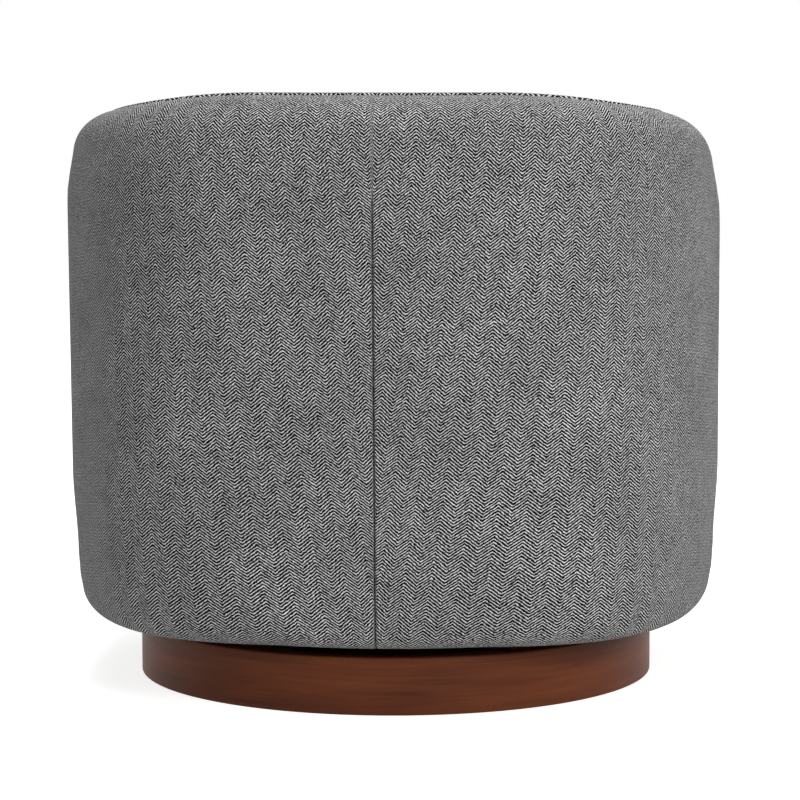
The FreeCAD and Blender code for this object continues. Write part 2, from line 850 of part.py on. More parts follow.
def make_pivot_bolt():
    # King bolt: washer and hexagon head above the cradle, shank down through the panel
    head_low = cradle_top + pivot_washer_thickness
    washer = prism(pivot_washer_radius, 2 * cup_sides, 0, 0, cradle_top, head_low)
    head = hexagon(3 * pivot_radius, 0, 0, head_low, head_low + pivot_head_height)
    low = panel_bottom - pivot_washer_thickness - pivot_nut_height - 2.0
    shank = Part.makeCylinder(pivot_radius, head_low - low, Vector(0, 0, low))
    return washer.fuse(head).fuse(shank)


def make_pivot_nut():
    washer_low = panel_bottom - pivot_washer_thickness
    washer = prism(pivot_washer_radius, 2 * cup_sides, 0, 0, washer_low, panel_bottom)
    nut = hexagon(3 * pivot_radius, 0, 0, washer_low - pivot_nut_height, washer_low)
    return clear_pivot(washer.fuse(nut), washer_low - pivot_nut_height, panel_bottom)


def headed_shank(radius, head_low, head_high, x, y, low):
    # Shank up from low to the head's underside, with a domed head on top
    head = frustum(2 * radius, radius, small_sides, x, y, head_low, head_high)
    return head.fuse(prism(radius, small_sides, x, y, low, head_low))


def make_plate_bolts():
    low = panel_bottom - plate_nut_height - 2.0
    return Part.makeCompound([headed_shank(plate_bolt_radius, base_plate_top, base_plate_top + plate_bolt_radius,
                                           x, y, low) for x, y in plate_bolt_places()])


def nut_at(radius, x, y, low, high):
    return drill(hexagon(3.4 * radius, x, y, low, high), [(x, y)], radius, low, high)


def make_plate_nuts():
    low = panel_bottom - plate_nut_height
    return Part.makeCompound([nut_at(plate_bolt_radius, x, y, low, panel_bottom)
                              for x, y in plate_bolt_places()])


# Rocker

def spring_places(sides_y):
    return [(sx * spring_x, sy * spring_y) for sx in (-1, 1) for sy in sides_y]


def rocker_bolt_places():
    return corner_places(2 * rocker_bolt_x, 2 * rocker_bolt_y)


def make_cradle():
    # Pressed plate with upturned side flanges, which carries the springs
    plate = cut_corner_plate(cradle_width, cradle_depth, cradle_corner, top_plate_top, cradle_top)
    length = cradle_depth - 2 * cradle_corner
    for side in (-1, 1):
        x = side * (cradle_width - cradle_thickness) / 2 - cradle_thickness / 2
        plate = plate.fuse(Part.makeBox(cradle_thickness, length, cradle_flange,
                                        Vector(x, -length / 2, cradle_top)))
    plate = drill(plate.removeSplitter(), rivet_places(), rivet_radius, top_plate_top, cradle_top)
    return bore(plate, pivot_radius + pivot_play, top_plate_top, cradle_top)


def make_rivets():
    return Part.makeCompound([headed_shank(rivet_radius, cradle_top, cradle_top + rivet_radius, x, y,
                                           top_plate_bottom) for x, y in rivet_places()])


def make_cups(z, side):
    # Dished spring seats; side is 1 for an upward rim and -1 for a downward one
    cups = []
    for x, y in spring_places((-1, 1)):
        low, high = sorted((z, z + side * cup_rim))
        dish_low, dish_high = sorted((z + side * cup_thickness, z + side * (cup_rim + 1.0)))
        cup = prism(cup_radius, cup_sides, x, y, low, high)
        cups.append(cup.cut(prism(cup_radius - cup_thickness, cup_sides, x, y, dish_low, dish_high)))
    return Part.makeCompound(cups)


def coil_spring(x, y):
    # Helical wire of flat facets: rings of corners along the helix, joined by triangles
    low = spring_bottom + spring_wire_radius + wood_fit
    high = spring_top - spring_wire_radius - wood_fit
    steps = int(round(spring_turns * spring_steps_per_turn))
    climb = (high - low) / steps
    rings = []
    for i in range(steps + 1):
        a = 2 * math.pi * i / spring_steps_per_turn
        ring = []
        for j in range(spring_sides):
            b = 2 * math.pi * j / spring_sides
            reach = spring_coil_radius + spring_wire_radius * math.cos(b)
            z = low + climb * i + spring_wire_radius * math.sin(b)
            ring.append(Vector(x + reach * math.cos(a), y + reach * math.sin(a), z))
        rings.append(ring)
    faces = [closed_face(rings[0]), closed_face(rings[-1])]
    for one, two in zip(rings[:-1], rings[1:]):
        for j in range(spring_sides):
            k = (j + 1) % spring_sides
            faces.append(closed_face([one[j], one[k], two[j]]))
            faces.append(closed_face([one[k], two[k], two[j]]))
    return solid_of(faces)


def make_springs(side_y):
    return Part.makeCompound([coil_spring(x, y) for x, y in spring_places((side_y,))])


def bumper_top():
    # The rocker plate's underside comes down to this height over the bumper at full rock
    angle = math.radians(rocker_angle)
    arm = rocker_plate_bottom - rock_axis_z
    lowest = rock_axis_z + arm * math.cos(angle) - (bumper_y + bumper_radius) * math.sin(angle)
    return lowest - bumper_stop_gap


def make_bumpers():
    bumpers = []
    for side in (-1, 1):
        shoulder = cradle_top + (bumper_top() - cradle_top) * 0.7
        y = side * bumper_y
        foot = prism(bumper_radius, cup_sides, 0, y, cradle_top, shoulder)
        bumpers.append(foot.fuse(frustum(bumper_radius, bumper_radius * 0.7, cup_sides, 0, y, shoulder,
                                         bumper_top())))
    return Part.makeCompound(bumpers)


def make_rocker_plate():
    plate = cut_corner_plate(cradle_width, cradle_depth, cradle_corner, rocker_plate_bottom, board_bottom)
    return drill(plate, rocker_bolt_places(), rocker_bolt_radius, rocker_plate_bottom, board_bottom)


def make_rocker_bolts():
    bolts = []
    head_height = 1.3 * rocker_bolt_radius
    tip = board_top + cross_rail_height + rocker_nut_height + 2.0
    for x, y in rocker_bolt_places():
        head = hexagon(3.2 * rocker_bolt_radius, x, y, rocker_plate_bottom - head_height, rocker_plate_bottom)
        bolts.append(head.fuse(prism(rocker_bolt_radius, small_sides, x, y, rocker_plate_bottom, tip)))
    return Part.makeCompound(bolts)


def make_rocker_nuts():
    low = board_top + cross_rail_height
    return Part.makeCompound([nut_at(rocker_bolt_radius, x, y, low, low + rocker_nut_height)
                              for x, y in rocker_bolt_places()])


os.makedirs("parts", exist_ok=True)

save(make_plinth_ring(), "plinth_ring")
save(make_panel(), "plinth_panel")
save(make_blocks(), "corner_blocks")
save(make_glides(), "floor_glides")
save(make_base_plate(), "swivel_base_plate")
save(make_plate_bolts(), "base_plate_bolts")
save(make_plate_nuts(), "base_plate_nuts")
save(make_bearing_ring(), "swivel_bearing_ring")
save(make_pivot_bolt(), "pivot_bolt")
save(make_pivot_nut(), "pivot_nut")

save(make_top_plate(), "swivel_top_plate")
save(make_cradle(), "spring_cradle")
save(make_rivets(), "cradle_rivets")
save(make_cups(cradle_top, 1), "lower_spring_cups")
save(make_springs(-1), "rocker_springs_front")
save(make_springs(1), "rocker_springs_rear")
save(make_bumpers(), "rock_bumpers")

save(make_cups(rocker_plate_bottom, -1), "upper_spring_cups")
save(make_rocker_plate(), "rocker_plate")
save(make_rocker_bolts(), "rocker_bolts")
save(make_rocker_nuts(), "rocker_nuts")
save(make_bottom_board(), "bottom_board")
save(make_dust_cover(), "dust_cover")
save(make_cross_rails(), "cross_rails")
save(make_uprights(), "wall_uprights")
save(make_arm_posts(), "arm_posts")
save(make_top_rail(), "top_rail")
save(make_outer_liner(), "outer_liner")
save(make_back_webbing(), "back_webbing")
save(make_seat_rail(), "seat_rail")
save(make_front_board(), "front_board")
save(make_lengthwise_webbing(), "webbing_lengthwise")
save(make_crosswise_webbing(), "webbing_crosswise")
save(make_seat_deck(), "seat_deck")

edge_roll = smooth_wall(edge_section)
save(edge_roll, "edge_roll_left")
save(mirrored(edge_roll), "edge_roll_right")
outside_cover = smooth_wall(outside_section)
save(outside_cover, "outside_cover_left")
save(mirrored(outside_cover), "outside_cover_right")
back_stations = stations(-pad_seam_angle, pad_seam_angle, back_pad_stations)
save(segmented_wall(inside_section, back_stations), "inside_pad")
arm_pad = segmented_wall(inside_section, stations(pad_seam_angle, arm_angle, arm_pad_stations))
save(arm_pad, "arm_pad_left")
save(mirrored(arm_pad), "arm_pad_right")
arm_front = make_arm_front()
save(arm_front, "arm_front_left")
save(mirrored(arm_front), "arm_front_right")
save(make_apron(), "front_apron")

save(make_cushion(), "seat_cushion")
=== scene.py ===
import json
import math
import bmesh
import bpy
import numpy as np
from mathutils import Matrix, Vector


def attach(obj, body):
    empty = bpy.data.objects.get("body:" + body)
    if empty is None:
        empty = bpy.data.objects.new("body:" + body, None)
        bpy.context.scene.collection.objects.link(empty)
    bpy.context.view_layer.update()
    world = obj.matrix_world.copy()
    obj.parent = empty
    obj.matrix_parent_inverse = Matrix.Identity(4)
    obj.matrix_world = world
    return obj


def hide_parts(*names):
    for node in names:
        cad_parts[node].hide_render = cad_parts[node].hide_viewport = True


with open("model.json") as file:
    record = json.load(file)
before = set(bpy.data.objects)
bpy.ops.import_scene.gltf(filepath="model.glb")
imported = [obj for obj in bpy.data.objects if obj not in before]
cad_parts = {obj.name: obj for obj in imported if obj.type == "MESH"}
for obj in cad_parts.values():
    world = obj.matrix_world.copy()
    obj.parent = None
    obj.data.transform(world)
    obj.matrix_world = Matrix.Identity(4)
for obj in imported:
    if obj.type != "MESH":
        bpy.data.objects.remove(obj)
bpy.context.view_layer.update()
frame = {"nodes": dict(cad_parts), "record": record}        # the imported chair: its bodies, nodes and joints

# Barrel chair that swivels and rocks. It faces -Y, its back is at +Y. Sizes are in metres. Angles are
# in degrees, round the tub from the middle of its back, positive towards the sitter's left arm

tub = {
    "halfWidth": 0.387, "backDepth": 0.448, "frontDepth": 0.430, "widestY": -0.080, "power": 2.95,
    "backHeight": 0.700, "armHeight": 0.575, "rimFallStart": 17.0, "frontReach": 0.371,
    "lean": 2.75, "leanHeight": 0.560, "wall": 0.112, "armAngle": 122.41,
    "hemHeight": 0.078, "hemRound": 0.072, "hemDepth": 0.038, "hemBand": 0.048, "hemSharper": 0.004,
    "rimRound": 0.085, "rimCrown": 0.052, "recess": 0.318, "boardBottom": 0.100, "deckTop": 0.296,
    # The padding stands fuller at the shoulders
    "shoulder": 0.021, "shoulderAngle": 70.0, "shoulderSpread": 22.0,
}
halfWall = tub["wall"] / 2
hemFoot = tub["hemHeight"] + tub["hemRound"]
leanSlope = math.tan(math.radians(tub["lean"]))
tangentStep = 0.05      # degrees between an outline point and each of the two that give its tangent


# Shape helpers

def smoothStep(x):
    x = np.clip(x, 0.0, 1.0)
    return x * x * (3 - 2 * x)


def outlinePoint(angle):
    # Superellipse in polar form: reach = (|sin a / half width|^n + |cos a / half depth|^n)^(-1/n)
    a = np.radians(angle)
    depth = np.where(np.cos(a) > 0, tub["backDepth"], tub["frontDepth"])
    n = tub["power"]
    reach = (np.abs(np.sin(a) / tub["halfWidth"]) ** n + np.abs(np.cos(a) / depth) ** n) ** (-1 / n)
    return reach * np.sin(a), tub["widestY"] + reach * np.cos(a)


def outlineNormal(angle):
    # The outline's tangent from two points close by, turned a quarter turn outwards
    x0, y0 = outlinePoint(angle - tangentStep)
    x1, y1 = outlinePoint(angle + tangentStep)
    length = np.hypot(x1 - x0, y1 - y0)
    return -(y1 - y0) / length, (x1 - x0) / length


def wallPoint(angle, inward, z):
    # Outline moved inwards along its normal, then sheared back in proportion to height
    x, y = outlinePoint(angle)
    nx, ny = outlineNormal(angle)
    return np.stack([x - nx * inward, y - ny * inward + leanSlope * (z - tub["leanHeight"]),
                     z + 0 * x], axis=-1)


def rimHeight(angle):
    # The rim falls from the back to the arms on a smooth step, fuller at the shoulders by a bell curve
    share = (np.abs(angle) - tub["rimFallStart"]) / (tub["armAngle"] - tub["rimFallStart"])
    bell = np.exp(-((np.abs(angle) - tub["shoulderAngle"]) / tub["shoulderSpread"]) ** 2)
    fall = (tub["backHeight"] - tub["armHeight"]) * smoothStep(share)
    return tub["backHeight"] - fall + tub["shoulder"] * bell


def hemReach(angle):
    # Distance inwards along the normal from the outline to the round recess over the plinth
    foot = wallPoint(angle, 0 * angle, tub["hemHeight"] + 0 * angle)
    nx, ny = outlineNormal(angle)
    along = foot[..., 0] * nx + foot[..., 1] * ny
    off = foot[..., 0] ** 2 + foot[..., 1] ** 2 - tub["recess"] ** 2
    root = np.sqrt(np.maximum(along ** 2 - off, 0))
    return np.where(along ** 2 > off, np.minimum(along - root, tub["hemBand"]), tub["hemBand"])


def twoArcs(width, height, radius, share):
    # Rounding from an upright flank (0, 0) to a level crown (width, height): a wide arc, then a
    # tighter one of the given radius, tangent to it. share runs from 0 to 1 along the turn
    flank = (width ** 2 + height ** 2 - 2 * height * radius) / (2 * (width - radius))
    turn = np.arctan2(height - radius, flank - width)
    t = share * np.pi / 2
    onFlank = t < turn
    x = np.where(onFlank, flank * (1 - np.cos(t)), width - radius * np.cos(t))
    z = np.where(onFlank, flank * np.sin(t), height - radius * (1 - np.sin(t)))
    return x, z


def gridFaces(rows, columns, closed=False):
    # Quads between neighbouring rows and columns; a closed grid joins its last column to its first
    r, c = np.meshgrid(np.arange(rows - 1), np.arange(columns if closed else columns - 1), indexing="ij")
    d = (c + 1) % columns
    return np.stack([r * columns + c, r * columns + d, (r + 1) * columns + d, (r + 1) * columns + c],
                    axis=-1).reshape(-1, 4)


def clothLengths(points):
    # Running length along each row and each column of a grid of points
    along = np.linalg.norm(np.diff(points, axis=1), axis=-1)
    up = np.linalg.norm(np.diff(points, axis=0), axis=-1)
    zeroColumn = np.zeros((points.shape[0], 1))
    zeroRow = np.zeros((1, points.shape[1]))
    return np.hstack([zeroColumn, np.cumsum(along, axis=1)]), np.vstack([zeroRow, np.cumsum(up, axis=0)])


# Mesh helpers

weldReach = 1e-5
leastLength = 1e-9      # keeps a division clear of zero


def newPiece(name, points, faces, uv=None, smooth=True, caps=()):
    # Mesh from whole arrays, with triangles in caps. uv holds metres along and up the cloth, one pair
    # for each point
    mesh = bpy.data.meshes.new(name)
    mesh.from_pydata(points.reshape(-1, 3).tolist(), [], faces.tolist() + list(caps))
    if uv is not None:
        layer = mesh.uv_layers.new(name="cloth")
        layer.data.foreach_set("uv", uv.reshape(-1, 2)[faces.reshape(-1)].astype(np.float32).ravel())
    mesh.polygons.foreach_set("use_smooth", np.full(len(mesh.polygons), smooth))
    mesh.update()
    piece = bpy.data.objects.new(name, mesh)
    bpy.context.scene.collection.objects.link(piece)
    return piece


def giveThickness(piece, thickness):
    wall = piece.modifiers.new("thickness", "SOLIDIFY")
    wall.thickness = thickness
    wall.offset = 1.0
    wall.use_even_offset = False


def weldAndOrient(piece):
    # Points at the same place become one, and the faces turn outwards
    work = bmesh.new()
    work.from_mesh(piece.data)
    bmesh.ops.remove_doubles(work, verts=work.verts, dist=weldReach)
    bmesh.ops.recalc_face_normals(work, faces=work.faces)
    work.to_mesh(piece.data)
    work.free()


def readPoints(piece):
    points = np.empty(len(piece.data.vertices) * 3)
    piece.data.vertices.foreach_get("co", points)
    return points.reshape(-1, 3)


def writePoints(piece, points):
    piece.data.vertices.foreach_set("co", points.astype(np.float32).ravel())
    piece.data.update()


def applyModifiers(piece):
    bpy.context.view_layer.update()
    shown = piece.evaluated_get(bpy.context.evaluated_depsgraph_get())
    mesh = bpy.data.meshes.new_from_object(shown)
    piece.modifiers.clear()
    piece.data = mesh


def dress(piece, material, body, replaced=()):
    piece.data.materials.clear()
    piece.data.materials.append(material)
    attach(piece, body)
    if replaced:
        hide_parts(*replaced)


# Materials

def linearColour(code):
    # An sRGB hex value turned to the linear values that the shader reads: a straight stretch near
    # black, then a power of 2.4
    parts = [int(code[i:i + 2], 16) / 255 for i in (1, 3, 5)]
    return [p / 12.92 if p <= 0.04045 else ((p + 0.055) / 1.055) ** 2.4 for p in parts] + [1.0]


def addNode(tree, kind, inputs=None, **settings):
    node = tree.nodes.new("ShaderNode" + kind)
    for name, value in settings.items():
        setattr(node, name, value)
    for key, value in (inputs or {}).items():
        if isinstance(value, bpy.types.NodeSocket):
            tree.links.new(value, node.inputs[key])
        else:
            node.inputs[key].default_value = value
    return node


def maths(tree, operation, *values):
    return addNode(tree, "Math", dict(enumerate(values)), operation=operation).outputs[0]


def addNoise(tree, place, scale, detail, roughness=0.5, distortion=0.0):
    noise = addNode(tree, "TexNoise", {"Vector": place, "Scale": scale, "Detail": detail,
                                       "Roughness": roughness, "Distortion": distortion})
    return noise.outputs["Fac"]


def stretched(tree, place, stretch):
    return addNode(tree, "Mapping", {"Vector": place, "Scale": stretch}).outputs[0]


def newMaterial(name, sockets):
    material = bpy.data.materials.new(name)
    material.use_nodes = True
    tree = material.node_tree
    shader = tree.nodes["Principled BSDF"]
    for key, value in sockets.items():
        shader.inputs[key].default_value = value
    return material, tree, shader


def twoColours(tree, amount, low, high, start, end):
    # Colour ramp between two sRGB hex values, as the amount goes from start to end
    held = addNode(tree, "MapRange", {"Value": amount, "From Min": start, "From Max": end})
    ramp = addNode(tree, "ValToRGB", {"Fac": held.outputs["Result"]})
    stops = ramp.color_ramp.elements
    stops[0].color, stops[1].color = linearColour(low), linearColour(high)
    return ramp.outputs["Color"]


def finishSurface(tree, shader, colour, height, strength, depth):
    bump = addNode(tree, "Bump", {"Strength": strength, "Distance": depth, "Height": height})
    tree.links.new(colour, shader.inputs["Base Color"])
    tree.links.new(bump.outputs["Normal"], shader.inputs["Normal"])


herringbone = {
    "stripe": 0.0132,        # width of one stripe of the twill, half the repeat
    "lineGap": 0.0037,       # height between twill lines, drawn as coarse as the photograph shows it
    "slope": 0.86,           # rise of a twill line for each unit across
    "darkYarn": "#080808", "lightYarn": "#fdfdfe",
    "darkEnd": 1.51, "lightStart": 1.77,     # where the yarns change over on the sum of wave and noises
    # Each noise's weight in the sum, and its scale for each metre of cloth
    "tangle": 0.8, "tangleScale": 260.0, "slub": 1.6, "slubScale": 420.0,
    "heather": 0.30, "heatherScale": 60.0,
    "cloudScale": 9.0, "cloudShade": "#e6e6e6", "cloudStart": 0.3, "cloudEnd": 0.7,
    "bump": 0.0006, "bumpStrength": 0.6,
}


def makeHerringbone():
    # Wool-blend tweed woven on a reversing twill: two yarns, a hairy matt surface, soft breaks
    # between the threads and a slight change of tone from one part of the bolt to the next
    size = herringbone
    material, tree, shader = newMaterial("tweed_woven_herringbone", {
        "Roughness": 0.92, "Sheen Weight": 0.01, "Sheen Roughness": 0.6, "Specular IOR Level": 0.2})
    uv = addNode(tree, "UVMap", uv_map="cloth").outputs["UV"]
    axes = addNode(tree, "SeparateXYZ", {0: uv})
    fold = maths(tree, "PINGPONG", axes.outputs["X"], size["stripe"])
    rise = maths(tree, "MULTIPLY_ADD", fold, size["slope"], axes.outputs["Y"])
    turns = maths(tree, "MULTIPLY", rise, 1 / size["lineGap"])
    wander = addNoise(tree, uv, size["tangleScale"], detail=2.0)
    wave = maths(tree, "PINGPONG", maths(tree, "MULTIPLY_ADD", wander, size["tangle"], turns), 0.5)
    crest = maths(tree, "MULTIPLY", wave, 2.0)
    slub = addNoise(tree, uv, size["slubScale"], detail=3.0, roughness=0.7)
    threads = maths(tree, "MULTIPLY_ADD", slub, size["slub"], crest)
    heather = addNoise(tree, uv, size["heatherScale"], detail=4.0, roughness=0.7)
    mixed = maths(tree, "MULTIPLY_ADD", heather, size["heather"], threads)
    yarns = twoColours(tree, mixed, size["darkYarn"], size["lightYarn"], size["darkEnd"], size["lightStart"])
    cloud = addNoise(tree, uv, size["cloudScale"], detail=2.0)
    tone = twoColours(tree, cloud, size["cloudShade"], "#ffffff", size["cloudStart"], size["cloudEnd"])
    colour = addNode(tree, "Mix", {"Factor": 1.0, 6: yarns, 7: tone}, data_type="RGBA",
                     blend_type="MULTIPLY")
    finishSurface(tree, shader, colour.outputs[2], mixed, size["bumpStrength"], size["bump"])
    return material


stainedWalnut = {
    "dark": "#492315", "light": "#864829", "darkEnd": 0.50, "lightStart": 1.10,
    "streakStretch": (3.0, 90.0, 1.0), "streakScale": 2.4, "streakWeight": 0.6,
    "figureStretch": (2.2, 14.0, 1.0), "figureScale": 1.6, "bump": 0.0002, "bumpStrength": 0.15,
}


def makeStainedWalnut():
    # Walnut veneer bent round the plinth, dark stain under satin lacquer: grain runs along the
    # band in fine darker streaks, with a soft sheen
    size = stainedWalnut
    material, tree, shader = newMaterial("walnut_stained_lacquered", {
        "Roughness": 0.5, "Specular IOR Level": 0.14})
    uv = addNode(tree, "UVMap", uv_map="cloth").outputs["UV"]
    along = stretched(tree, uv, size["streakStretch"])
    streak = addNoise(tree, along, size["streakScale"], detail=6.0, roughness=0.65, distortion=0.4)
    broad = stretched(tree, uv, size["figureStretch"])
    figure = addNoise(tree, broad, size["figureScale"], detail=2.0)
    both = maths(tree, "MULTIPLY_ADD", streak, size["streakWeight"], figure)
    colour = twoColours(tree, both, size["dark"], size["light"], size["darkEnd"], size["lightStart"])
    finishSurface(tree, shader, colour, streak, size["bumpStrength"], size["bump"])
    return material


plain = {"rampStart": 0.3, "rampEnd": 0.7, "bumpStrength": 0.3}


def makePlain(name, low, high, roughness, scale, stretch=(1, 1, 1), bumpDepth=0.0002, metallic=0.0):
    # A finish that varies by a stretched noise between two close colours, with a fine bump
    material, tree, shader = newMaterial(name, {"Roughness": roughness, "Metallic": metallic})
    place = addNode(tree, "TexCoord").outputs["Object"]
    grain = addNoise(tree, stretched(tree, place, stretch), scale, detail=5.0)
    colour = twoColours(tree, grain, low, high, plain["rampStart"], plain["rampEnd"])
    finishSurface(tree, shader, colour, grain, plain["bumpStrength"], bumpDepth)
    return material


tweed = makeHerringbone()
walnut = makeStainedWalnut()
finishes = {
    "frame_wood": makePlain("birch_plywood_sawn", "#a98a5f", "#cdb083", 0.7, 30, (1, 1, 12)),
    "black_steel": makePlain("steel_black_powder_coated", "#0c0c0d", "#161617", 0.5, 900),
    "bright_steel": makePlain("steel_zinc_plated", "#9fa0a0", "#b9b9b6", 0.32, 400, metallic=1.0),
    "nylon": makePlain("nylon_moulded", "#101010", "#1a1a1a", 0.5, 300),
    "rubber": makePlain("rubber_moulded", "#0b0b0b", "#141413", 0.8, 500),
    "webbing": makePlain("polypropylene_woven_webbing", "#161617", "#26262a", 0.75, 220, (1, 1, 6), 0.0004),
    "dust_cloth": makePlain("polypropylene_spunbond", "#060606", "#101010", 0.95, 700),
    "deck_felt": makePlain("felted_pad_needled", "#4c4a49", "#686563", 0.97, 260, bumpDepth=0.0006),
    "fibreboard": makePlain("hardboard_pressed", "#7a5a3c", "#8f6d4b", 0.85, 350),
    "upholstery": tweed, "walnut_stained_wood": walnut,
}
print("materials made:", len(finishes))


# Outside cover, with the rolled hem and the arms' front ends

cover = {
    # Columns stand close together beside the dart, then evenly from columnStart to the arm
    "dartColumns": (0.0, 0.05, 0.10, 0.16, 0.24, 0.35, 0.55, 0.9, 1.5), "columnStart": 2.2,
    "wallColumns": 92, "frontColumns": 30, "lipRows": 3, "hemRows": 14, "wallRows": 44, "rimRows": 16,
    "lip": 0.002, "lipTuck": 0.001, "leastHem": 0.005, "leastEnd": 0.004, "tuck": 0.006, "thickness": 0.0022,
    # The dart in the middle of the back, and the faint seam above it
    "backRadius": 0.37, "seamDepth": 0.0060, "seamWidth": 0.0008, "faintSeam": 0.0004,
    "dartTop": 0.603, "dartFade": 0.03,
    # Away from the back the cloth draws in above the hem and under the shoulder
    "drawStart": 22, "drawOver": 30, "foot": 0.0050, "footTop": 0.25, "footFade": 0.10,
    "shoulderDraw": 0.0034, "drawBelow": 0.052, "drawSpread": 0.026,
    # The hem is pulled up at the back
    "backLift": 0.0026, "backSpread": 32.0, "liftTop": 0.20, "liftFade": 0.12,
    # The last share of the half turn round the arm's end draws in, on the inner side
    "pinch": 0.05, "pinchShare": 0.03,
    # The stripes lean towards the dart below this height
    "converge": 0.145, "convergeTop": 0.64, "convergeSpread": 0.26,
}


def coverProfile(angle):
    # Inward distance and height along the cover: up from the board, under the hem, round it,
    # up the wall, over the rim and down into the crest seam
    top = rimHeight(angle)
    reach = hemReach(angle)
    depth = np.minimum(tub["hemDepth"], reach - cover["leastHem"])
    zero = 0 * angle
    rows = [(reach, zero + tub["boardBottom"] - cover["lipTuck"]),
            (reach, zero + tub["hemHeight"] + cover["lip"]),
            (reach - cover["lip"], zero + tub["hemHeight"])]
    for t in np.linspace(1, 0, cover["hemRows"]):
        across, down = twoArcs(depth, tub["hemRound"], depth - tub["hemSharper"], zero + t)
        rows.append((across, hemFoot - down))
    wallTop = top - tub["rimRound"]
    rows += [(zero, hemFoot + (wallTop - hemFoot) * t) for t in np.linspace(0, 1, cover["wallRows"])[1:]]
    for t in np.linspace(0, 1, cover["rimRows"])[1:]:
        across, up = twoArcs(halfWall, tub["rimRound"], tub["rimCrown"], zero + t)
        rows.append((across, wallTop + up))
    rows.append((zero + halfWall, top - cover["tuck"]))
    return np.array([row[0] for row in rows]), np.array([row[1] for row in rows])


def pullCloth(angles, inward, height):
    # The cloth draws in, lifts and dips into the dart, each by smooth steps and bell curves
    size = cover
    sideways = smoothStep((np.abs(angles) - size["drawStart"]) / size["drawOver"])
    drawn = size["foot"] * sideways * smoothStep((size["footTop"] - height) / size["footFade"])
    drawn = drawn * smoothStep(height / tub["hemHeight"])
    below = (rimHeight(angles) - height - size["drawBelow"]) / size["drawSpread"]
    drawn = drawn + size["shoulderDraw"] * sideways * np.exp(-below ** 2)
    lift = size["backLift"] * np.exp(-(angles / size["backSpread"]) ** 2)
    height = height + lift * smoothStep((size["liftTop"] - height) / size["liftFade"])
    fromDart = np.radians(angles) * size["backRadius"]
    groove = size["faintSeam"] + (size["seamDepth"] - size["faintSeam"]) * smoothStep(
        (size["dartTop"] - height) / size["dartFade"])
    return inward + drawn + groove * np.exp(-(fromDart / size["seamWidth"]) ** 2), height


def turnArmEnd(inward, height):
    # Half turn round the arm's end: the profile's distance from the middle of the wall is the radius
    turns = np.linspace(0, np.pi, cover["frontColumns"] + 1)[1:]
    endAngle = np.array([tub["armAngle"]])
    nx, ny = outlineNormal(endAngle)
    outward, forward = np.array([nx[0], ny[0]]), np.array([ny[0], -nx[0]])
    radius = np.maximum(halfWall - inward, cover["leastEnd"])
    centre = wallPoint(endAngle[None, :] + 0 * height[:, None], halfWall, height[:, None])
    spread = outward * np.cos(turns)[:, None] + forward * np.sin(turns)[:, None]
    last = (turns - np.pi * (1 - cover["pinchShare"])) / (np.pi * cover["pinchShare"])
    pinch = 1 - cover["pinch"] * smoothStep(last)
    front = np.repeat(centre, len(turns), axis=1)
    front[..., :2] += radius[:, None, None] * spread[None] * pinch[None, :, None]
    return front


def coverCloth(half):
    # Cloth lengths from the dart and from the foot. The stripes lean towards the dart as they go
    # down, less and less away from it
    along, up = clothLengths(half)
    middleRow = half.shape[0] // 2
    u = np.repeat(along[middleRow:middleRow + 1], half.shape[0], axis=0)
    v = up - up[cover["lipRows"] + cover["hemRows"]]
    drop = np.clip(cover["convergeTop"] - half[..., 2], 0, 1)
    return u + cover["converge"] * drop * np.exp(-(u / cover["convergeSpread"]) ** 2), v


def makeOutsideCover():
    # One half of the cover and its mirror image, joined in the middle of the back
    even = np.linspace(cover["columnStart"], tub["armAngle"], cover["wallColumns"])
    angles = np.concatenate([cover["dartColumns"], even])
    inward, height = pullCloth(angles, *coverProfile(angles))
    wall = wallPoint(angles[None, :] + 0 * height, inward, height)
    half = np.concatenate([wall, turnArmEnd(inward[:, -1], height[:, -1])], axis=1)
    u, v = coverCloth(half)
    mirrored = half[:, :0:-1] * np.array([-1, 1, 1])
    points = np.concatenate([mirrored, half], axis=1)
    uv = np.stack([np.concatenate([-u[:, :0:-1], u], axis=1),
                   np.concatenate([v[:, :0:-1], v], axis=1)], axis=-1)
    piece = newPiece("outside_cover", points, gridFaces(*points.shape[:2]), uv)
    giveThickness(piece, cover["thickness"])
    dress(piece, tweed, "chair",
          ("outside_cover_left", "outside_cover_right", "edge_roll_left", "edge_roll_right",
           "arm_front_left", "arm_front_right"))


makeOutsideCover()
print("outside cover made")


# Inside back and arms

inside = {
    "seamAngle": 56.0, "backColumns": 96, "armColumns": 60, "rimRows": 16, "faceRows": 34,
    "extraBack": 0.050, "extraArm": 0.003, "extraEnd": 90, "belly": 0.6,
    "crestGap": 0.0012, "deckGap": 0.001, "tuck": 0.006, "thickness": 0.003,
    "faceRadius": 0.30, "swell": 0.0035, "swellPower": 0.7,
    "seamPull": 0.004, "seamWidth": 0.010, "pullPower": 0.2,
}


def extraPadding(angle):
    # Padding added to the wall: thick in the middle of the back, falling on a smooth step to the arms
    share = smoothStep(1 - np.abs(angle) / inside["extraEnd"])
    return inside["extraArm"] + (inside["extraBack"] - inside["extraArm"]) * share


